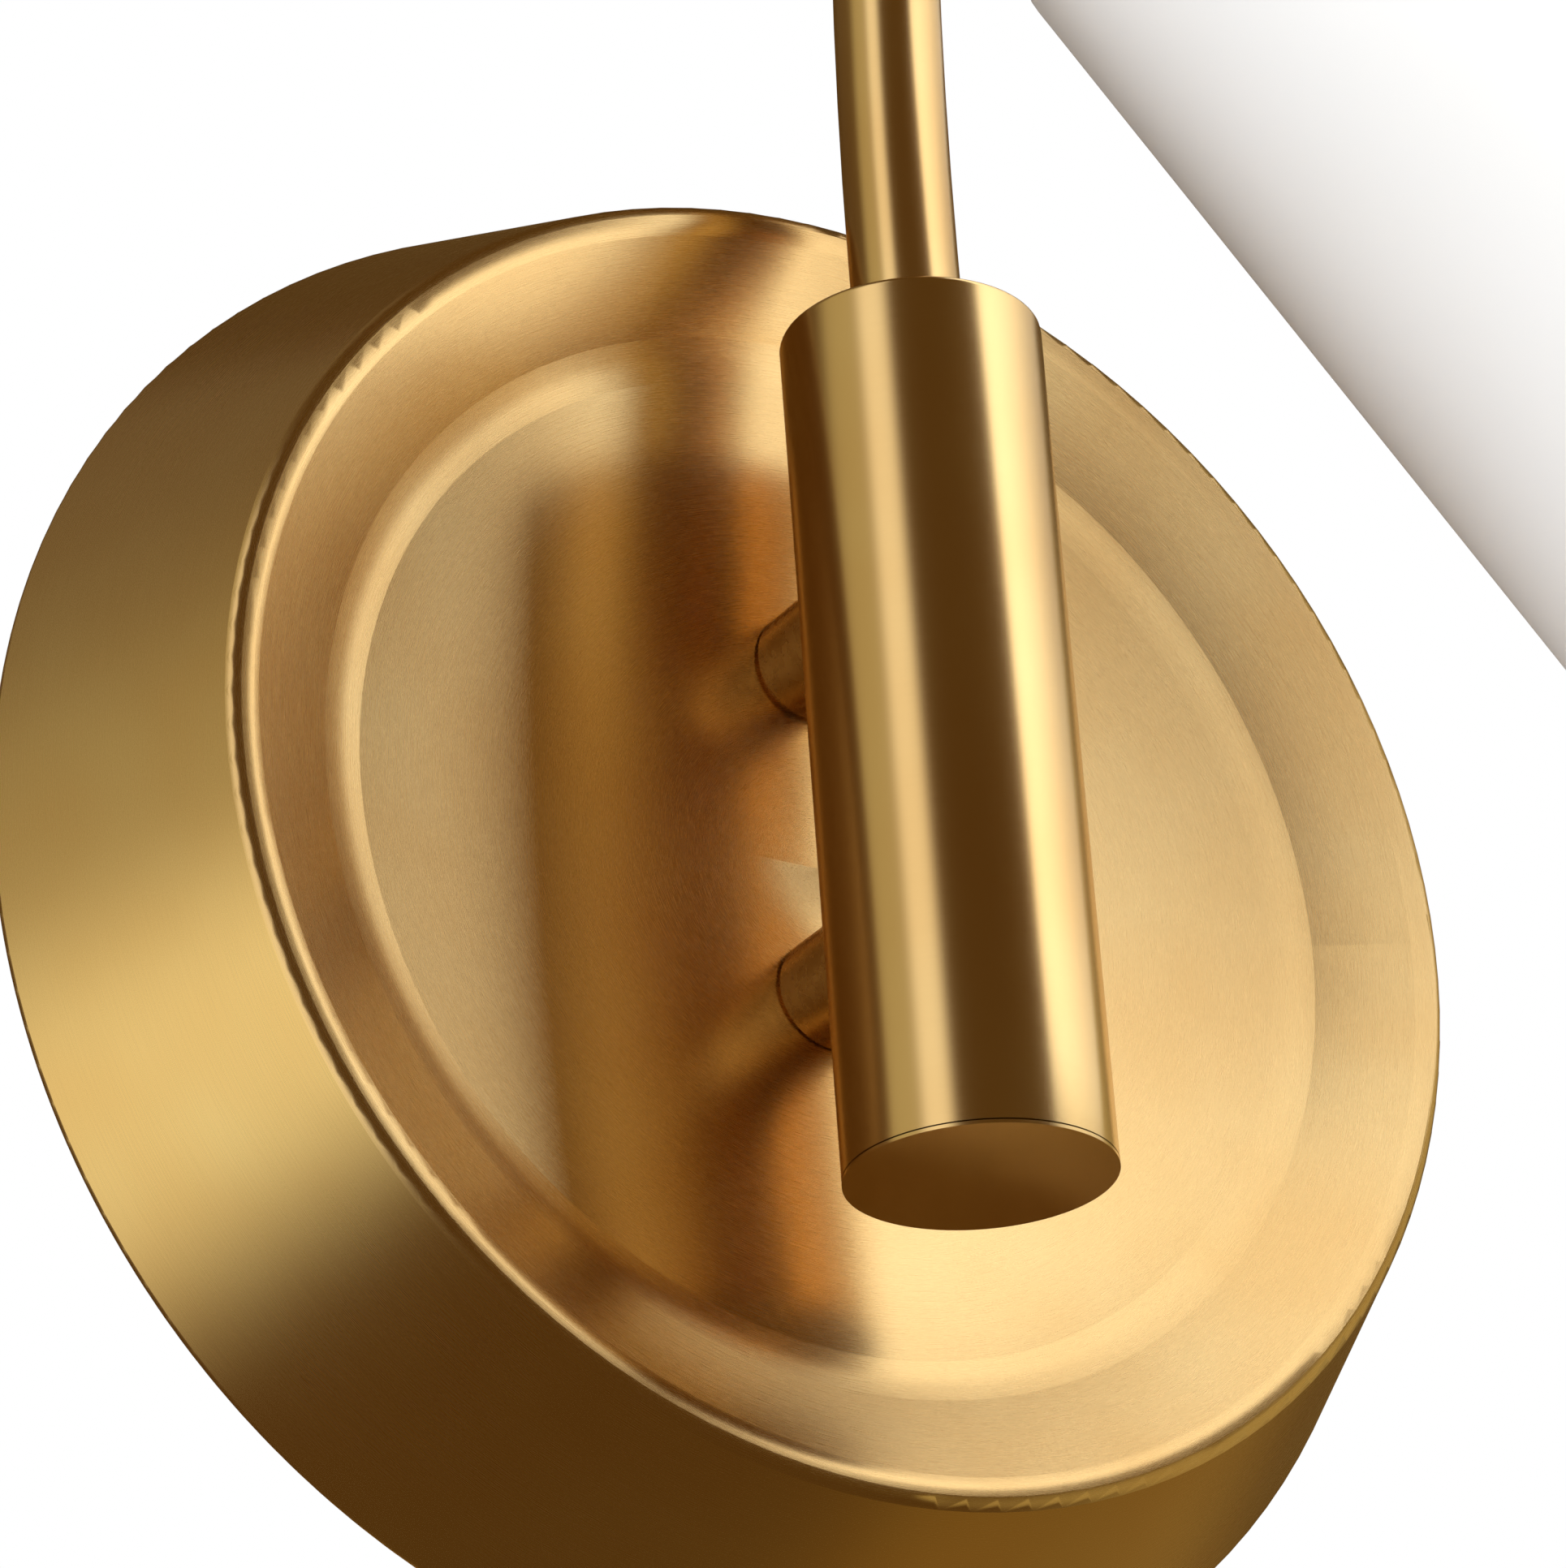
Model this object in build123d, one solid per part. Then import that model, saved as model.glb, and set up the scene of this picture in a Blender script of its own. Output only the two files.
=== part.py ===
from build123d import *
import os
from math import asin, cos, degrees, radians, sin, sqrt, tan

# Wall sconce with a swinging arm and a tilting shade. Millimetres. The wall is the plane y = 0,
# the room is towards -Y, up is +Z, and the origin is the canopy's centre on the wall.
os.makedirs("parts", exist_ok=True)

# ---- canopy ----
BACK_R = 69.8            # radius where the canopy meets the wall
RIM_R = 60.0             # radius of the rolled front rim
DEPTH = 25.0             # wall to front rim
SHEET = 1.2              # thickness of the spun brass
HEM_R = 0.7              # rounding of the back edge
LIP_R = 4.0              # soft shoulder inside the rim
COVE_R = 11.0            # hollow corner between slope and floor
SLOPE = 26.5             # steepest slope of the dish, degrees
SLOPE_RUN = 7.95         # radial length of the straight slope
FLOOR_TILT = 6.0         # slope of the floor where it meets the cove, degrees

# ---- barrel and posts ----
BARREL_R = 11.25
BARREL_BORE = 9.25
BARREL_Y = -37.6
BARREL_BOTTOM = -36.4
BARREL_TOP = 41.1
CAP_FLANGE = 0.3         # visible thickness of the barrel's end disc
CAP_SEAM = 0.12          # hairline between end disc and barrel
CAP_SPIGOT = 4.0
CAP_SPIGOT_WALL = 2.0
BARREL_EDGE = 0.5        # rounding of the barrel's top edge
POST_R = 5.1
FOOT_GROOVE = 0.35       # width and depth of the small step at the foot of each post
POST_Z = (19.0, -12.0)
NIPPLE_R = 4.0           # threaded tube that clamps barrel, post and canopy together
NIPPLE_BORE = 2.75
NIPPLE_BACK = -9.0
NIPPLE_SHORT = 0.35      # the nipple stops this far short of the barrel's bore
WASHER_R = 7.8
WASHER = 1.0             # thickness at its rim, where it follows the dish
POST_NUT_FLATS = 13.0
POST_NUT = 4.0
ROLL_ARCS = 8            # short arcs that the rim's roll is drawn with
BEND_ARCS = 4
THREAD_GAP = 0.05        # radial room in a modelled thread or fit
CLEAR = 100.0            # longer than any piece, for cutting right through

# ---- wall bracket and what fastens the canopy to it ----
PLATE = 2.0              # thickness of the bracket
BAR_HALF = 55.0          # half the length of the bar across the wall box
BAR_HALF_WIDTH = 11.0
UPRIGHT_HALF_WIDTH = 13.0
BOX_SPACING = 88.9       # standard spacing of a 4 inch wall box's cover screws
BOX_SLOT = 12.0
BOX_SLOT_R = 2.3
WIRE_HOLE_R = 11.0
EAR_Z = 60.0             # underside of the ear that takes the canopy screw
EAR_HALF_WIDTH = 8.0
EAR_REACH = 12.0
TAB_Z = -48.0            # the upright's foot steps off the wall here
TAB_END = -60.0
SCREW_R = 2.0            # the machine screws' thread
CANOPY_SCREW_Y = -8.0
CANOPY_SCREW_Z = (56.5, 66.6)
GROUND_X = 24.0
GROUND_WASHER_R = 4.6
GROUND_WASHER = 0.9
GROUND_HEAD = 2.5
GROUND_FLATS = 7.0
HOOK_HALF_WIDTH = 7.0
HOOK_FACE = -0.8         # the hook's wall side
HOOK_TONGUE = -2.4
HOOK_TOP = -51.5
HOOK_HEEL = -61.8

# ---- arm ----
SWING = 60.0             # the arm stands this far to the right of straight out
TUBE_R = 4.75
TUBE_BORE = 3.5
TUBE_BOTTOM = -13.5
BEND_Z = 49.7            # the tube is straight up to here
BEND_R = 680.9           # radius of its gentle outward bend
TUBE_TOP_Z = 112.0
PIVOT_REACH = 15.0       # tube end to tilt pivot, along the tube
FORK_R = 6.5
FORK_BOTTOM = -20.0
SLOT_BOTTOM = -13.0
SLOT_HALF = 3.1
PIVOT_R = 2.0
WIRE_R = 3.0             # wire hole from the tube into the fork's slot
FORK_EYE_R = 6.2
SEAT_X = 5.3             # flats for the pivot screw's head and nut
SEAT_R = 3.9
PIVOT_SCREW_END = -7.4
PIVOT_HEAD_R = 3.5
PIVOT_HEAD = 2.0
DRIVER_SLOT_HALF = 0.4
ACORN_FLATS = 6.6
ACORN_BASE = 1.8
ACORN_R = 2.9
WASHER_FACE_X = 2.2      # the fork's friction discs reach from here to the slot's wall
FRICTION_DISC_R = 5.2

# ---- lamp head, measured along its axis from the tilt pivot ----
HEAD_TILT = 46.14        # degrees outwards from straight down
CONE_HALF = 15.0         # half-angle of the shade
CONE_R0 = 17.48          # the cone's radius carried back to the pivot
SHADE_START = 36.0
SHADE_END = 142.0
SHADE_SHEET = 0.9
SHADE_SHOULDER = 5.0
BEAD_R = 1.1
CUP_START = 22.0
CUP_R = 15.5
CUP_CORNER = 7.0
CUP_SHEET = 1.2
TONGUE_HALF = 1.9
NECK_HALF = 3.2
STEM_R = 4.5
STEM_START = 17.0
STEM_BORE = 2.2
SPIGOT_END = 31.0
CUP_NUT_FLATS = 11.0
CUP_NUT = 3.0
HOLDER_R = 12.0
HOLDER_START = 26.8
HOLDER_END = 56.0
HOLDER_EDGE = 1.0
SHELL_R = 6.15           # bore of the small screw lamp base
SHELL_SHEET = 1.0
SHELL_START = 35.0
CONTACT_START = 33.0
CONTACT_R = 4.0
CONTACT_TIP_R = 1.8
CONTACT_TIP = 34.5       # just below the shell, so a lamp base can be screwed right home
CONTACT_SHEET = 0.8
SHADE_RING_R = 17.0
SHADE_RING = 3.5
GRIP_STEP = 30           # degrees between the finger grooves of the shade ring
GRIP_R = 1.2
GRIP_AT = 17.4

# ---- swivel stack inside the barrel ----
BUSH_R = 9.2
UPPER_BUSH_LENGTH = 10.0
LOWER_BUSH = (-4.0, 5.0)
STOP_RIM_TOP = 9.5
STOP_RIM_R = 6.6
STOP_HALF_GAP = 73.0     # half the rim's gap: 65 degrees of swing, the pin and a margin
STOP_PIN_Z = 7.4
STOP_PIN_R = 0.9
STOP_PIN_SPAN = (5.0, 8.8)
COLLAR_R = 6.2
COLLAR_GAP = 0.3
FRICTION_WASHER = 1.0
FRICTION_WASHER_R = 8.5
FRICTION_WASHER_BORE = 4.85
SPRING_R = 8.0
SPRING_SHEET = 0.7
SPRING_DISH = 0.6
SPRING_TOP = -5.3
ARM_NUT_TOP = -6.6
ARM_NUT = 4.5
ARM_NUT_FLATS = 14.0

# Worked out from the above
BEND = asin((TUBE_TOP_Z - BEND_Z) / BEND_R)
TUBE_DIR = Vector(0, -sin(BEND), cos(BEND))
TUBE_END = Vector(0, BARREL_Y - BEND_R * (1 - cos(BEND)), TUBE_TOP_Z)
PIVOT = TUBE_END + TUBE_DIR * PIVOT_REACH
HEAD_DIR = Vector(0, -sin(radians(HEAD_TILT)), -cos(radians(HEAD_TILT)))
FORK_PLANE = Plane(origin=PIVOT, x_dir=(1, 0, 0), z_dir=TUBE_DIR)
HEAD_PLANE = Plane(origin=PIVOT, x_dir=(1, 0, 0), z_dir=HEAD_DIR)
SWUNG = Pos(0, BARREL_Y, 0) * Rot(0, 0, SWING) * Pos(0, -BARREL_Y, 0)
BARREL_AXIS = Pos(0, BARREL_Y, 0)


# ---- shapes that many pieces use ----
def save(name, shape):
    export_step(shape, f"parts/{name}.step")


def group(shapes):
    return Compound(children=list(shapes))


def disc(r, z0, z1):
    return Pos(0, 0, (z0 + z1) / 2) * Cylinder(r, z1 - z0)


def ring(r_out, r_in, z0, z1):
    return disc(r_out, z0, z1) - disc(r_in, z0 - 1, z1 + 1)


def hexagon(flats, z0, z1):
    corner = flats / 2 / cos(radians(30))
    return extrude(Pos(0, 0, z0) * RegularPolygon(corner, 6), z1 - z0)


def block(x0, x1, y0, y1, z0, z1):
    return Pos((x0 + x1) / 2, (y0 + y1) / 2, (z0 + z1) / 2) * Box(x1 - x0, y1 - y0, z1 - z0)


def along_x(r, x0, x1):
    return Pos((x0 + x1) / 2, 0, 0) * Rot(0, 90, 0) * Cylinder(r, x1 - x0)


def turned(outline):
    """A closed outline in the (radius, z) plane, turned about the Z axis."""
    return revolve(Plane.XZ * make_face(outline), Axis.Z, 360)


def circles(shape, r):
    return shape.edges().filter_by(GeomType.CIRCLE).filter_by(lambda e: abs(e.radius - r) < 0.01)


def from_wall(shape):
    """Turn a shape built along +Z so that its +Z points out of the wall, along -Y."""
    return Rot(90, 0, 0) * shape


def on_barrel(shape):
    return BARREL_AXIS * shape


def in_barrel(shape):
    """Pieces of the swinging arm that sit on the barrel's axis."""
    return SWUNG * BARREL_AXIS * shape


def on_fork(shape):
    return SWUNG * FORK_PLANE.location * shape


def on_head(shape):
    return SWUNG * HEAD_PLANE.location * shape


def screw_hole():
    return disc(SCREW_R + THREAD_GAP, -CLEAR, CLEAR)


def polar(centre, r, angle):
    """A point on an arc in the (radius, y) plane. Angle 0 points at the wall, 90 away from the axis."""
    return (centre[0] + r * sin(radians(angle)), centre[1] + r * cos(radians(angle)))


# ---- canopy ----
def dish_arcs():
    """Centres of the lip, cove and floor arcs in the (radius, y) plane. The floor is part of a sphere."""
    lip = (RIM_R - SHEET, -DEPTH + LIP_R)
    slope_top = polar(lip, LIP_R, 180 + SLOPE)
    slope_end = (slope_top[0] - SLOPE_RUN, slope_top[1] + SLOPE_RUN * tan(radians(SLOPE)))
    cove = polar(slope_end, COVE_R, 180 + SLOPE)
    floor_start = polar(cove, COVE_R, FLOOR_TILT)
    floor_r = floor_start[0] / sin(radians(FLOOR_TILT))
    floor = (0, floor_start[1] - floor_r * cos(radians(FLOOR_TILT)))
    return lip, cove, floor, floor_r


def dish_sphere(sheet=0):
    """The sphere that the floor's face is part of, or with sheet=SHEET, the one behind it."""
    lip, cove, floor, floor_r = dish_arcs()
    return Pos(0, floor[1], 0) * Sphere(floor_r + sheet)


def dish_face_y():
    lip, cove, floor, floor_r = dish_arcs()
    return floor[1] + floor_r


def side_wall():
    """The roll's centre, the side's lean and front end, and the inner wall's radius at the wall."""
    roll = (RIM_R - SHEET, -DEPTH + SHEET)
    lean = asin((BACK_R - RIM_R) / DEPTH)
    side_top = (roll[0] + SHEET * cos(lean), roll[1] - SHEET * sin(lean))
    inner_back = roll[0] + (BACK_R - side_top[0]) * roll[1] / side_top[1]
    return roll, lean, side_top, inner_back


def make_canopy():
    lip, cove, floor, floor_r = dish_arcs()
    roll, lean, side_top, inner_back = side_wall()
    front_y = dish_face_y()

    def arcs(centre, r, start, end, count):
        """One bend as a run of short arcs, so that its mesh stays smooth."""
        step = (end - start) / count
        ends = [(start + i * step, start + (i + 1) * step) for i in range(count)]
        return [ThreePointArc(*(polar(centre, r, angle) for angle in (a, (a + b) / 2, b))) for a, b in ends]

    outline = [
        Line((BACK_R, 0), side_top),
        *arcs(roll, SHEET, 90 + degrees(lean), 180, ROLL_ARCS),
        *arcs(lip, LIP_R, 180, 180 + SLOPE, BEND_ARCS),
        Line(polar(lip, LIP_R, 180 + SLOPE), polar(cove, COVE_R, SLOPE)),
        *arcs(cove, COVE_R, SLOPE, FLOOR_TILT, BEND_ARCS),
        *arcs(floor, floor_r, FLOOR_TILT, 0, 1),
        Line((0, front_y), (0, front_y + SHEET)),
        *arcs(floor, floor_r + SHEET, 0, FLOOR_TILT, 1),
        *arcs(cove, COVE_R + SHEET, FLOOR_TILT, SLOPE, 1),
        Line(polar(cove, COVE_R + SHEET, SLOPE), polar(lip, LIP_R - SHEET, 180 + SLOPE)),
        *arcs(lip, LIP_R - SHEET, 180 + SLOPE, 180, 1),
        Line(roll, (inner_back, 0)),
        Line((inner_back, 0), (BACK_R, 0)),
    ]
    shell = revolve(make_face(outline), Axis.Y, 360)
    shell = fillet(circles(shell, BACK_R), HEM_R)
    for z in POST_Z:
        shell -= Pos(0, 0, z) * from_wall(disc(NIPPLE_R + THREAD_GAP, 0, CLEAR))
    return shell - Pos(0, CANOPY_SCREW_Y, 0) * disc(SCREW_R + THREAD_GAP, RIM_R, CLEAR)


# ---- wall bracket and what fastens the canopy to it ----
def make_bracket():
    bar = block(-BAR_HALF, BAR_HALF, -PLATE, 0, -BAR_HALF_WIDTH, BAR_HALF_WIDTH)
    foot = (-UPRIGHT_HALF_WIDTH, UPRIGHT_HALF_WIDTH)
    upright = block(*foot, -PLATE, 0, TAB_Z, EAR_Z + PLATE)
    ear = block(-EAR_HALF_WIDTH, EAR_HALF_WIDTH, -EAR_REACH, 0, EAR_Z, EAR_Z + PLATE)
    step = block(*foot, -2.5 * PLATE, 0, TAB_Z, TAB_Z + PLATE)
    tab = block(*foot, -2.5 * PLATE, -1.5 * PLATE, TAB_END, TAB_Z + PLATE)
    plate = bar + upright + ear + step + tab
    plate -= from_wall(disc(WIRE_HOLE_R, -1, PLATE + 1))
    for side in (-1, 1):
        slot = extrude(SlotOverall(BOX_SLOT, 2 * BOX_SLOT_R), 2 * PLATE)
        plate -= Pos(side * BOX_SPACING / 2, PLATE / 2, 0) * from_wall(slot)
    plate -= Pos(GROUND_X, 0, 0) * from_wall(screw_hole())
    ear_hole = screw_hole() & block(-EAR_REACH, EAR_REACH, -EAR_REACH, EAR_REACH, EAR_Z - 1, CLEAR)
    return plate - Pos(0, CANOPY_SCREW_Y, 0) * ear_hole


def make_ground_screw():
    seat = PLATE + GROUND_WASHER
    top = seat + GROUND_HEAD
    screw = disc(GROUND_WASHER_R, PLATE, seat) + hexagon(GROUND_FLATS, seat, top)
    screw += disc(SCREW_R, PLATE / 10, seat)
    screw -= block(-SCREW_R, SCREW_R, -DRIVER_SLOT_HALF, DRIVER_SLOT_HALF, top - 1, top + 1)
    return Pos(GROUND_X, 0, 0) * from_wall(screw)


def make_canopy_screw():
    screw = disc(SCREW_R, *CANOPY_SCREW_Z)
    end = CANOPY_SCREW_Z[1]
    screw -= block(-CLEAR, CLEAR, -DRIVER_SLOT_HALF, DRIVER_SLOT_HALF, end - 1, end + 1)
    return Pos(0, CANOPY_SCREW_Y, 0) * screw


def make_canopy_hook():
    """Clip soldered inside the canopy: it follows the side, then hooks behind the bracket's tab."""
    across = (-HOOK_HALF_WIDTH, HOOK_HALF_WIDTH)
    tongue = block(*across, HOOK_TONGUE, HOOK_FACE, -BACK_R, HOOK_TOP)
    heel = block(*across, -EAR_REACH, HOOK_FACE, -BACK_R, HOOK_HEEL)
    roll, lean, side_top, inner_back = side_wall()
    inside = Pos(0, 0, -roll[1] / 2) * Cone(inner_back, roll[0], -roll[1])
    return (tongue + heel) & from_wall(inside)


# ---- posts ----
def make_post(z):
    """A short tube, shaped at one end to the dish and at the other to the barrel."""
    lip, cove, floor, floor_r = dish_arcs()
    foot = -floor[1] - sqrt(floor_r ** 2 - z ** 2)
    post = disc(POST_R, foot + FOOT_GROOVE, -BARREL_Y) + disc(POST_R - FOOT_GROOVE, 0, foot + 1)
    post = Pos(0, 0, z) * from_wall(post - disc(NIPPLE_R + THREAD_GAP, -1, CLEAR))
    return (post & dish_sphere()) - on_barrel(disc(BARREL_R, -CLEAR, CLEAR))


def at_posts(shape):
    return [Pos(0, 0, z) * from_wall(shape) for z in POST_Z]


def make_nipples():
    end = -BARREL_Y - BARREL_BORE - NIPPLE_SHORT
    return at_posts(ring(NIPPLE_R, NIPPLE_BORE, -NIPPLE_BACK, end))


def make_washers():
    """Saddle washers, flat on the nut's side and shaped to the back of the dish."""
    seat = -dish_face_y() - SHEET
    washer = ring(WASHER_R, NIPPLE_R + THREAD_GAP, seat - WASHER, seat + WASHER)
    return [placed - dish_sphere(SHEET) for placed in at_posts(washer)]


def make_nuts():
    seat = -dish_face_y() - SHEET - WASHER
    hole = disc(NIPPLE_R + THREAD_GAP, -CLEAR, CLEAR)
    return at_posts(hexagon(POST_NUT_FLATS, seat - POST_NUT, seat) - hole)


# ---- barrel ----
def make_barrel():
    seat = BARREL_BOTTOM + CAP_FLANGE + CAP_SEAM
    barrel = ring(BARREL_R, BARREL_BORE, seat, BARREL_TOP)
    top_edge = circles(barrel, BARREL_R).sort_by(Axis.Z)[-1]
    barrel = on_barrel(fillet(top_edge, BARREL_EDGE))
    for z in POST_Z:
        barrel -= Pos(0, 0, z) * from_wall(disc(NIPPLE_R + THREAD_GAP, BARREL_R, -BARREL_Y))
    return barrel


def make_barrel_cap():
    seat = BARREL_BOTTOM + CAP_FLANGE
    cap = disc(BARREL_R, BARREL_BOTTOM, seat) + disc(BUSH_R, seat, seat + CAP_SPIGOT)
    return on_barrel(cap - disc(BUSH_R - CAP_SPIGOT_WALL, seat + 1, CLEAR))


def make_upper_bush():
    return on_barrel(ring(BUSH_R, TUBE_R + THREAD_GAP, BARREL_TOP - UPPER_BUSH_LENGTH, BARREL_TOP))


def make_lower_bush():
    """Lower bearing, with a rim on top that lets the stop pin through only in its gap."""
    bush = ring(BUSH_R, TUBE_R + THREAD_GAP, *LOWER_BUSH)
    rim = ring(BUSH_R, STOP_RIM_R, LOWER_BUSH[1], STOP_RIM_TOP)
    far = 3 * BUSH_R
    side = (far * sin(radians(STOP_HALF_GAP)), far * cos(radians(STOP_HALF_GAP)))
    gap = Polyline((0, 0), side, (side[0], far), (-side[0], far), (-side[0], side[1]), close=True)
    rim -= extrude(Pos(0, 0, LOWER_BUSH[1]) * make_face(gap), BUSH_R)
    return on_barrel(bush + rim)


def make_friction_washer():
    seat = LOWER_BUSH[0]
    return on_barrel(ring(FRICTION_WASHER_R, FRICTION_WASHER_BORE, seat - FRICTION_WASHER, seat))


# ---- swinging arm ----
def make_tube():
    straight = on_barrel(ring(TUBE_R, TUBE_BORE, TUBE_BOTTOM, BEND_Z))
    section = Plane(origin=(0, BARREL_Y, BEND_Z)) * (Circle(TUBE_R) - Circle(TUBE_BORE))
    bend_axis = Axis((0, BARREL_Y - BEND_R, BEND_Z), (1, 0, 0))
    return SWUNG * (straight + revolve(section, bend_axis, degrees(BEND)))


def stop_pin_rod(r, start, end):
    return Pos(0, 0, STOP_PIN_Z) * Rot(-90, 0, 0) * disc(r, start, end)


def make_collar():
    collar = ring(COLLAR_R, TUBE_R + THREAD_GAP, LOWER_BUSH[1] + COLLAR_GAP, STOP_RIM_TOP)
    return in_barrel(collar - stop_pin_rod(STOP_PIN_R + THREAD_GAP, 0, CLEAR))


def make_stop_pin():
    return in_barrel(stop_pin_rod(STOP_PIN_R, *STOP_PIN_SPAN))


def make_spring_washer():
    """A dished ring: the outer edge lies nearer the friction washer, the inner edge nearer the nut."""
    inner = FRICTION_WASHER_BORE
    corners = [(inner, SPRING_TOP - SPRING_DISH - SPRING_SHEET), (SPRING_R, SPRING_TOP - SPRING_SHEET),
               (SPRING_R, SPRING_TOP), (inner, SPRING_TOP - SPRING_DISH)]
    return in_barrel(turned(Polyline(*corners, close=True)))


def make_arm_nut():
    hole = disc(TUBE_R + THREAD_GAP, -CLEAR, CLEAR)
    return in_barrel(hexagon(ARM_NUT_FLATS, ARM_NUT_TOP - ARM_NUT, ARM_NUT_TOP) - hole)


def make_fork():
    fork = disc(FORK_R, FORK_BOTTOM, FORK_EYE_R)
    below = block(-CLEAR, CLEAR, -CLEAR, CLEAR, FORK_BOTTOM, 0)
    fork &= along_x(FORK_EYE_R, -CLEAR, CLEAR) + below
    fork -= block(-SLOT_HALF, SLOT_HALF, -CLEAR, CLEAR, SLOT_BOTTOM, CLEAR)
    fork -= disc(TUBE_R + THREAD_GAP, -CLEAR, -PIVOT_REACH)
    fork -= disc(WIRE_R, -CLEAR, CLEAR)
    fork -= along_x(PIVOT_R + THREAD_GAP, -CLEAR, CLEAR)
    return on_fork(fork - along_x(SEAT_R, -CLEAR, -SEAT_X) - along_x(SEAT_R, SEAT_X, CLEAR))


def make_pivot_screw():
    head_end = SEAT_X + PIVOT_HEAD
    screw = along_x(PIVOT_R, PIVOT_SCREW_END, SEAT_X) + along_x(PIVOT_HEAD_R, SEAT_X, head_end)
    slot = block(head_end - 1, head_end + 1, -CLEAR, CLEAR, -DRIVER_SLOT_HALF, DRIVER_SLOT_HALF)
    return on_fork(screw - slot)


def make_pivot_nut():
    """An acorn nut: a hexagon with a dome over the screw's end."""
    base = hexagon(ACORN_FLATS, SEAT_X, SEAT_X + ACORN_BASE)
    dome = Pos(0, 0, SEAT_X + 1.2) * Sphere(ACORN_R) & disc(ACORN_R, SEAT_X + 1, CLEAR)
    nut = base + dome - disc(PIVOT_R + THREAD_GAP, 0, 0.3 - PIVOT_SCREW_END)
    return on_fork(Rot(0, -90, 0) * nut)


def make_pivot_washers():
    washer = along_x(FRICTION_DISC_R, WASHER_FACE_X, SLOT_HALF) - along_x(PIVOT_R + THREAD_GAP, 0, CLEAR)
    return [on_fork(washer), on_fork(mirror(washer, Plane.YZ))]


# ---- lamp head ----
def make_tongue():
    eye = along_x(FRICTION_DISC_R, -TONGUE_HALF, TONGUE_HALF)
    neck = block(-TONGUE_HALF, TONGUE_HALF, -NECK_HALF, NECK_HALF, 0, STEM_START + 0.5)
    stem = disc(STEM_R, STEM_START, CUP_START) + disc(NIPPLE_R - THREAD_GAP, CUP_START, SPIGOT_END)
    tongue = eye + neck + stem - disc(STEM_BORE, STEM_START + 2, CLEAR)
    return on_head(tongue - along_x(PIVOT_R + THREAD_GAP, -CLEAR, CLEAR))


def make_cup():
    corner = (CUP_R - CUP_CORNER, CUP_START + CUP_CORNER)
    inner_r = CUP_R - CUP_SHEET
    inner_z = CUP_START + CUP_SHEET

    def on_corner(r):
        return (corner[0] + r * sin(radians(45)), corner[1] - r * cos(radians(45)))

    outline = [
        Line((NIPPLE_R, CUP_START), (corner[0], CUP_START)),
        ThreePointArc((corner[0], CUP_START), on_corner(CUP_CORNER), (CUP_R, corner[1])),
        Line((CUP_R, corner[1]), (CUP_R, SHADE_START)),
        Line((CUP_R, SHADE_START), (inner_r, SHADE_START)),
        Line((inner_r, SHADE_START), (inner_r, corner[1])),
        ThreePointArc((inner_r, corner[1]), on_corner(CUP_CORNER - CUP_SHEET), (corner[0], inner_z)),
        Line((corner[0], inner_z), (NIPPLE_R, inner_z)),
        Line((NIPPLE_R, inner_z), (NIPPLE_R, CUP_START)),
    ]
    return on_head(turned(outline))


def make_cup_nut():
    start = CUP_START + CUP_SHEET
    return on_head(hexagon(CUP_NUT_FLATS, start, start + CUP_NUT) - disc(NIPPLE_R, -CLEAR, CLEAR))


def make_holder():
    body = disc(HOLDER_R, HOLDER_START, HOLDER_END)
    body -= disc(NIPPLE_R, 0, SPIGOT_END + 0.2)
    body -= disc(SHELL_R + SHELL_SHEET + THREAD_GAP, CONTACT_START, CLEAR)
    return on_head(chamfer(circles(body, HOLDER_R).sort_by(Axis.Z)[-1], HOLDER_EDGE))


def make_screw_shell():
    return on_head(ring(SHELL_R + SHELL_SHEET, SHELL_R, SHELL_START, HOLDER_END - 0.5))


def make_contact():
    step = CONTACT_START + CONTACT_SHEET
    return on_head(disc(CONTACT_R, CONTACT_START, step) + disc(CONTACT_TIP_R, step, CONTACT_TIP))


def make_shade_ring():
    start = SHADE_START + SHADE_SHEET
    band = ring(SHADE_RING_R, HOLDER_R + THREAD_GAP, start, start + SHADE_RING)
    for turn in range(0, 360, GRIP_STEP):
        band -= Rot(0, 0, turn) * Pos(GRIP_AT, 0, 0) * disc(GRIP_R, 0, CLEAR)
    return on_head(band)


def cone_r(s):
    return CONE_R0 + s * tan(radians(CONE_HALF))


def make_shade():
    """A cone of sheet with a flat back, soft shoulders and a rolled bead round its mouth."""
    wall = SHADE_SHEET / cos(radians(CONE_HALF))
    hole = HOLDER_R + 3 * THREAD_GAP
    front = SHADE_START + SHADE_SHEET
    corners = [(hole, SHADE_START), (cone_r(SHADE_START), SHADE_START), (cone_r(SHADE_END), SHADE_END),
               (cone_r(SHADE_END) - wall, SHADE_END), (cone_r(front) - wall, front), (hole, front)]
    shade = turned(Polyline(*corners, close=True))
    shade = fillet(circles(shade, cone_r(SHADE_START)), SHADE_SHOULDER)
    shade = fillet(circles(shade, cone_r(front) - wall), SHADE_SHOULDER - SHADE_SHEET)
    bead_at = (cone_r(SHADE_END) - BEAD_R, 0, SHADE_END - 0.2)
    bead = revolve(Plane(origin=bead_at, z_dir=(0, 1, 0)) * Circle(BEAD_R), Axis.Z, 360)
    return on_head(shade + bead)


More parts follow.
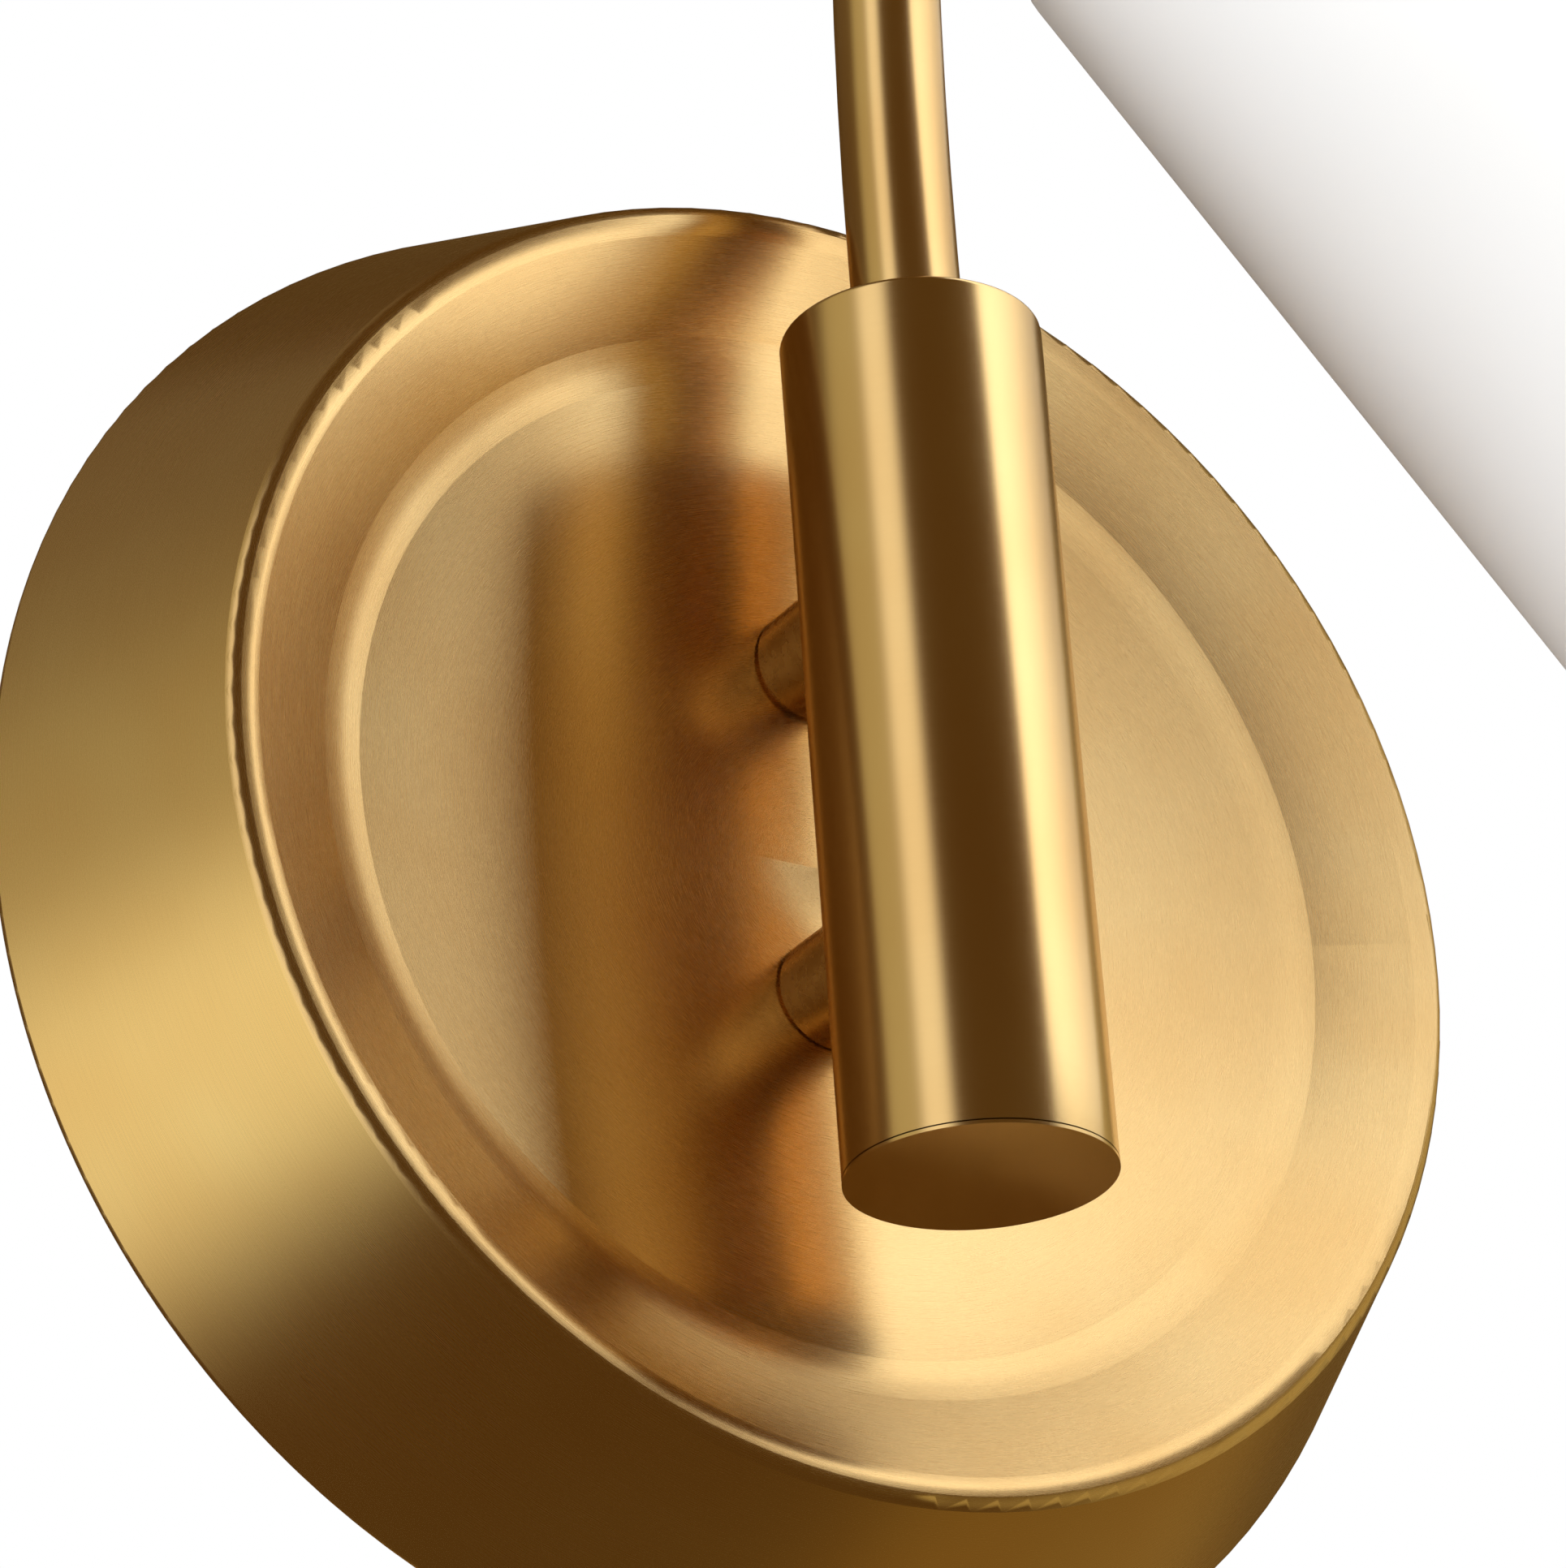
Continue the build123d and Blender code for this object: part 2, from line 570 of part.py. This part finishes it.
NODES = {
    "canopy": make_canopy(),
    "wall_bracket": make_bracket(),
    "ground_screw": make_ground_screw(),
    "canopy_screw": make_canopy_screw(),
    "canopy_hook": make_canopy_hook(),
    "upper_post": make_post(POST_Z[0]),
    "lower_post": make_post(POST_Z[1]),
    "post_nipples": group(make_nipples()),
    "post_washers": group(make_washers()),
    "post_nuts": group(make_nuts()),
    "barrel": make_barrel(),
    "barrel_cap": make_barrel_cap(),
    "upper_bush": make_upper_bush(),
    "lower_bush": make_lower_bush(),
    "friction_washer": make_friction_washer(),
    "arm_tube": make_tube(),
    "arm_collar": make_collar(),
    "stop_pin": make_stop_pin(),
    "spring_washer": make_spring_washer(),
    "arm_nut": make_arm_nut(),
    "arm_fork": make_fork(),
    "pivot_washers": group(make_pivot_washers()),
    "pivot_screw": make_pivot_screw(),
    "pivot_nut": make_pivot_nut(),
    "swivel_tongue": make_tongue(),
    "lamp_cup": make_cup(),
    "cup_nut": make_cup_nut(),
    "lampholder": make_holder(),
    "screw_shell": make_screw_shell(),
    "centre_contact": make_contact(),
    "shade_ring": make_shade_ring(),
    "shade": make_shade(),
}
for name, shape in NODES.items():
    save(name, shape)

tilt_pivot = SWUNG * Pos(PIVOT)
print("tilt pivot", tilt_pivot.position, "dish floor y", round(dish_face_y(), 2))
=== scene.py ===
from math import cos, radians, sin

import bpy
from mathutils import Matrix, Vector


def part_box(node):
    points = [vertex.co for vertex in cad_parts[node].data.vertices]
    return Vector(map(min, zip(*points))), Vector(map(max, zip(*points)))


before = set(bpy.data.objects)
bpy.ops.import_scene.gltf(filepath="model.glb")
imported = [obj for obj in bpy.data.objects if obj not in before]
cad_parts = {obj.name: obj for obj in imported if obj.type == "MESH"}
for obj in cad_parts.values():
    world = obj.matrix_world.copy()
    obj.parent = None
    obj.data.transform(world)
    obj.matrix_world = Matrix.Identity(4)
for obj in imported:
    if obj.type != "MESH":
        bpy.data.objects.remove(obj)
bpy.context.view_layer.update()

MM = 0.001

# ---- camera ----
AIM = Vector((-8.07, -25.0, 2.95)) * MM
VIEW_AZIMUTH = 32.712     # degrees the view turns from the +Y axis towards +X
VIEW_ELEVATION = 25.843   # degrees the view looks up
VIEW_ROLL = -4.155
VIEW_DISTANCE = 533.86 * MM
LENS = 145.99
SENSOR = 36.0
NEAR_LIMIT = 10.0 * MM


def aim_camera():
    azimuth, elevation, roll = (radians(a) for a in (VIEW_AZIMUTH, VIEW_ELEVATION, VIEW_ROLL))
    forward = Vector((sin(azimuth) * cos(elevation), cos(azimuth) * cos(elevation), sin(elevation)))
    level = Vector((cos(azimuth), -sin(azimuth), 0))
    upright = level.cross(forward)
    right = level * cos(roll) + upright * sin(roll)
    up = upright * cos(roll) - level * sin(roll)
    data = bpy.data.cameras.new("camera")
    data.lens = LENS
    data.sensor_width = SENSOR
    data.sensor_fit = "AUTO"
    data.clip_start = NEAR_LIMIT
    camera = bpy.data.objects.new("camera", data)
    turn = Matrix((right, up, -forward)).transposed().to_4x4()
    camera.matrix_world = Matrix.Translation(AIM - forward * VIEW_DISTANCE) @ turn
    bpy.context.scene.collection.objects.link(camera)
    bpy.context.scene.camera = camera


# ---- node helpers ----
class Tree:
    """A few short calls for building a node tree."""

    def __init__(self, tree):
        self.tree = tree
        tree.nodes.clear()

    def add(self, kind, inputs=None, **settings):
        node = self.tree.nodes.new(kind)
        for name, value in settings.items():
            setattr(node, name, value)
        for key, value in (inputs or {}).items():
            self.put(node.inputs[key], value)
        return node

    def put(self, socket, value):
        if isinstance(value, bpy.types.NodeSocket):
            self.tree.links.new(value, socket)
        else:
            socket.default_value = value

    def math(self, operation, *values):
        return self.add("ShaderNodeMath", dict(enumerate(values)), operation=operation).outputs[0]

    def vector(self, x, y, z):
        return self.add("ShaderNodeCombineXYZ", {0: x, 1: y, 2: z}).outputs[0]

    def split(self, vector):
        return self.add("ShaderNodeSeparateXYZ", {0: vector}).outputs

    def moved(self, vector, offset):
        return self.add("ShaderNodeVectorMath", {0: vector, 1: offset}, operation="ADD").outputs[0]

    def facing(self, vector, direction):
        inputs = {0: vector, 1: direction}
        return self.add("ShaderNodeVectorMath", inputs, operation="DOT_PRODUCT").outputs["Value"]

    def noise(self, vector, scale, detail=2.0, roughness=0.5):
        inputs = {"Vector": vector, "Scale": scale, "Detail": detail, "Roughness": roughness}
        return self.add("ShaderNodeTexNoise", inputs).outputs["Fac"]

    def spread(self, value, low, high, to_low=0.0, to_high=1.0, smooth=False):
        kind = "SMOOTHSTEP" if smooth else "LINEAR"
        inputs = {"Value": value, "From Min": low, "From Max": high, "To Min": to_low, "To Max": to_high}
        return self.add("ShaderNodeMapRange", inputs, interpolation_type=kind).outputs["Result"]

    def mix(self, factor, a, b):
        node = self.add("ShaderNodeMix", {"Factor": factor}, data_type="RGBA")
        colours = {socket.name: socket for socket in node.inputs if socket.type == "RGBA"}
        self.put(colours["A"], a)
        self.put(colours["B"], b)
        return [socket for socket in node.outputs if socket.type == "RGBA"][0]

    def bump(self, strength, height):
        inputs = {"Strength": strength, "Distance": BUMP_DEPTH, "Height": height}
        return self.add("ShaderNodeBump", inputs).outputs[0]

    def box_window(self, value, centre, half, fade):
        """1 within half of centre, falling smoothly to 0 over a band of width fade."""
        away = self.math("ABSOLUTE", self.math("SUBTRACT", value, centre))
        return self.spread(away, half - fade / 2, half + fade / 2, 1.0, 0.0, smooth=True)


# ---- studio light ----
# The brass sees soft boxes in dark, warm surroundings. Each has the azimuth and elevation of its middle
# as seen from the object, its half-width and half-height, how far its edge fades (all in degrees), and
# its colour. Azimuth 0 is straight out of the wall, along -Y, and it turns towards +X. Later ones cover
# earlier ones.
SOFT_BOXES = [
    (-98, 20, 18, 36, 16, (0.50, 0.45, 0.28)),
    (-92, -14, 22, 20, 26, (1.15, 1.12, 0.85)),
    (-66, 10, 13, 42, 12, (1.15, 1.12, 1.06)),
    (75, 15, 32, 40, 24, (0.45, 0.36, 0.16)),
    (147, -26, 30, 26, 24, (0.32, 0.20, 0.05)),
    (-143, 60, 30, 24, 24, (0.19, 0.14, 0.08)),
]
SURROUNDINGS = (0.10, 0.055, 0.016, 1)
BACKDROP = (1, 1, 1, 1)

# Matt surfaces see a plain room instead: brightest in front, below and to the left, with a faint glow
# from the wall's right.
ROOM_LIGHT = 0.82
ROOM_SLOPE = 0.75
ROOM_BRIGHT_SIDE = Vector((-0.50, -0.55, -0.67)).normalized()
WALL_LIGHT = 0.5
WALL_FALL = 2.0
WALL_SIDE = Vector((0.55, 0.80, -0.25)).normalized()
MIRRORED_GAIN = 1.05      # how much more light falls on matt surfaces where they are seen in the brass


def room_light(t, direction, mirrors):
    """How bright the room is in a direction, for a ray that has met this many mirroring surfaces."""
    front = t.facing(direction, ROOM_BRIGHT_SIDE)
    wall = t.math("MAXIMUM", t.facing(direction, WALL_SIDE), 0.0)
    room = t.math("MAXIMUM", t.math("MULTIPLY_ADD", front, ROOM_SLOPE, ROOM_LIGHT), 0.0)
    room = t.math("MULTIPLY_ADD", t.math("POWER", wall, WALL_FALL), WALL_LIGHT, room)
    mirrored = t.math("MINIMUM", mirrors, 1.0)
    return t.math("MULTIPLY", room, t.math("MULTIPLY_ADD", mirrored, MIRRORED_GAIN, 1.0))


def light_studio():
    world = bpy.data.worlds.new("studio")
    bpy.context.scene.world = world
    world.use_nodes = True
    world.cycles.sampling_method = "NONE"    # so that each kind of ray is told apart below
    t = Tree(world.node_tree)
    direction = t.add("ShaderNodeTexCoord").outputs["Generated"]
    x, y, z = t.split(direction)
    azimuth = t.math("DEGREES", t.math("ARCTAN2", x, t.math("MULTIPLY", y, -1.0)))
    elevation = t.math("DEGREES", t.math("ARCSINE", z))
    boxes = SURROUNDINGS
    for middle_az, middle_el, half_az, half_el, fade, colour in SOFT_BOXES:
        across = t.box_window(azimuth, middle_az, half_az, fade)
        along = t.box_window(elevation, middle_el, half_el, fade)
        boxes = t.mix(t.math("MULTIPLY", across, along), boxes, (*colour, 1))
    path = t.add("ShaderNodeLightPath").outputs
    room = room_light(t, direction, path["Glossy Depth"])
    light = t.mix(path["Is Diffuse Ray"], boxes, t.vector(room, room, room))
    shown = t.add("ShaderNodeBackground", {"Color": t.mix(path["Is Camera Ray"], light, BACKDROP)})
    t.add("ShaderNodeOutputWorld", {"Surface": shown.outputs[0]})
    bpy.context.scene.view_settings.view_transform = "Standard"


# ---- materials ----
BRASS_LIGHT = (0.82, 0.585, 0.27, 1)
BRASS_DEEP = (0.78, 0.52, 0.22, 1)
BRUSH_LENGTH = 5.0 * MM
BRUSH_WIDTH = 0.05 * MM
BRUSH_ROUGHNESS_SPREAD = 0.015
ACROSS_THE_STROKES = 0.25  # of a turn: the highlight spreads across the brush strokes
AXIS_CORE = 0.1 * MM       # keeps the radius above zero on the axis
BUMP_DEPTH = 0.02 * MM
CLOUD_SPAN = (0.35, 0.65)  # the part of a noise's values that a change is spread over
GRAIN_SPAN = (0.3, 0.7)
BRASS_CLOUD_SCALE = 45.0   # noise cells per metre, as the other scales
METAL_GRAIN = {"cloud_scale": 60.0, "grain_scale": 900.0, "roughness_spread": 0.05, "strength": 0.1}
PAINT_GRAIN = {"cloud_scale": 30.0, "grain_scale": 700.0, "roughness_spread": 0.04, "strength": 0.08}
CANOPY_REACH = 50.0 * MM   # typical radii of the brushed faces
BARREL_REACH = 11.0 * MM
TUBE_REACH = 5.0 * MM


def material(name):
    made = bpy.data.materials.new(name)
    made.use_nodes = True
    t = Tree(made.node_tree)
    shader = t.add("ShaderNodeBsdfPrincipled")
    t.add("ShaderNodeOutputMaterial", {"Surface": shader.outputs[0]})
    place = t.add("ShaderNodeTexCoord").outputs["Object"]
    return made, t, shader.inputs, place


def turned_brass(name, axis, centre, reach, lean=1.0, roughness=0.24, anisotropy=0.5, strength=0.025):
    """Satin brass brushed in rings round an axis. centre is a point on it, and reach a typical radius.
    The strokes are laid by radius + lean * height, which must keep changing all along the outline."""
    made, t, shader, place = material(name)
    x, y, z = t.split(t.moved(place, tuple(-c for c in centre)))
    across, other, along = {"Y": (x, z, y), "Z": (x, y, z)}[axis]
    squares = t.math("ADD", t.math("MULTIPLY", across, across), t.math("MULTIPLY", other, other))
    radius = t.math("MAXIMUM", t.math("SQRT", squares), AXIS_CORE)
    turns = reach / BRUSH_LENGTH
    cosine = t.math("MULTIPLY", t.math("DIVIDE", across, radius), turns)
    sine = t.math("MULTIPLY", t.math("DIVIDE", other, radius), turns)
    profile = t.math("DIVIDE", t.math("MULTIPLY_ADD", along, lean, radius), BRUSH_WIDTH)
    strokes = t.noise(t.vector(cosine, sine, profile), 1.0, detail=3.0, roughness=0.6)
    cloud = t.noise(place, BRASS_CLOUD_SCALE)
    low, high = roughness - BRUSH_ROUGHNESS_SPREAD, roughness + BRUSH_ROUGHNESS_SPREAD
    t.put(shader["Base Color"], t.mix(t.spread(cloud, *CLOUD_SPAN), BRASS_DEEP, BRASS_LIGHT))
    t.put(shader["Metallic"], 1.0)
    t.put(shader["Roughness"], t.spread(strokes, *GRAIN_SPAN, low, high))
    if anisotropy:
        t.put(shader["Anisotropic"], anisotropy)
        t.put(shader["Anisotropic Rotation"], ACROSS_THE_STROKES)
        tangent = t.add("ShaderNodeTangent", direction_type="RADIAL", axis=axis)
        t.put(shader["Tangent"], tangent.outputs[0])
    t.put(shader["Normal"], t.bump(strength, strokes))
    return made


def grained(name, light, deep, roughness, roughness_spread, cloud_scale, grain_scale, strength):
    """A surface with a cloudy colour and a fine grain. Returns the material and its shader's sockets."""
    made, t, shader, place = material(name)
    cloud = t.noise(place, cloud_scale)
    grain = t.noise(place, grain_scale)
    low, high = roughness - roughness_spread, roughness + roughness_spread
    t.put(shader["Base Color"], t.mix(t.spread(cloud, *CLOUD_SPAN), deep, light))
    t.put(shader["Roughness"], t.spread(grain, *GRAIN_SPAN, low, high))
    t.put(shader["Normal"], t.bump(strength, grain))
    return made, shader


def satin_metal(name, light, deep, roughness):
    made, shader = grained(name, light, deep, roughness, **METAL_GRAIN)
    shader["Metallic"].default_value = 1.0
    return made


def coated(name, light, deep, roughness, coat=0.0):
    """Paint, glaze or plastic."""
    made, shader = grained(name, light, deep, roughness, **PAINT_GRAIN)
    shader["Coat Weight"].default_value = coat
    return made


def paint(nodes, made):
    for name in nodes:
        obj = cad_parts[name]
        obj.data.materials.clear()
        obj.data.materials.append(made)


def middle(node):
    low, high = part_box(node)
    return tuple((a + b) / 2 for a, b in zip(low, high))


def paint_everything():
    canopy, barrel = middle("canopy"), middle("barrel")
    paint(["canopy"],
          turned_brass("canopy_brass", "Y", canopy, CANOPY_REACH, lean=0.25, roughness=0.27, strength=0.05))
    paint(["barrel", "barrel_cap", "upper_bush"], turned_brass("barrel_brass", "Z", barrel, BARREL_REACH))
    paint(["arm_tube"], turned_brass("tube_brass", "Z", barrel, TUBE_REACH, anisotropy=0.0))
    small = ["upper_post", "lower_post", "lower_bush", "arm_collar", "arm_nut", "arm_fork", "pivot_screw",
             "pivot_nut", "swivel_tongue", "lamp_cup", "cup_nut", "shade_ring", "screw_shell",
             "centre_contact"]
    paint(small, satin_metal("fitting_brass", BRASS_LIGHT, BRASS_DEEP, 0.27))
    steel = ["wall_bracket", "canopy_hook", "canopy_screw", "post_nipples", "post_washers", "post_nuts",
             "stop_pin", "spring_washer"]
    paint(steel, satin_metal("zinc_steel", (0.66, 0.66, 0.64, 1), (0.56, 0.56, 0.55, 1), 0.36))
    paint(["ground_screw"],
          coated("green_paint", (0.05, 0.30, 0.10, 1), (0.04, 0.25, 0.08, 1), 0.3, coat=0.3))
    paint(["lampholder"],
          coated("porcelain", (0.86, 0.85, 0.80, 1), (0.82, 0.80, 0.75, 1), 0.15, coat=0.5))
    paint(["friction_washer", "pivot_washers"],
          coated("nylon", (0.80, 0.78, 0.70, 1), (0.76, 0.74, 0.66, 1), 0.5))
    paint(["shade"], coated("white_paint", (0.88, 0.88, 0.88, 1), (0.87, 0.87, 0.865, 1), 0.42))


aim_camera()
light_studio()
paint_everything()
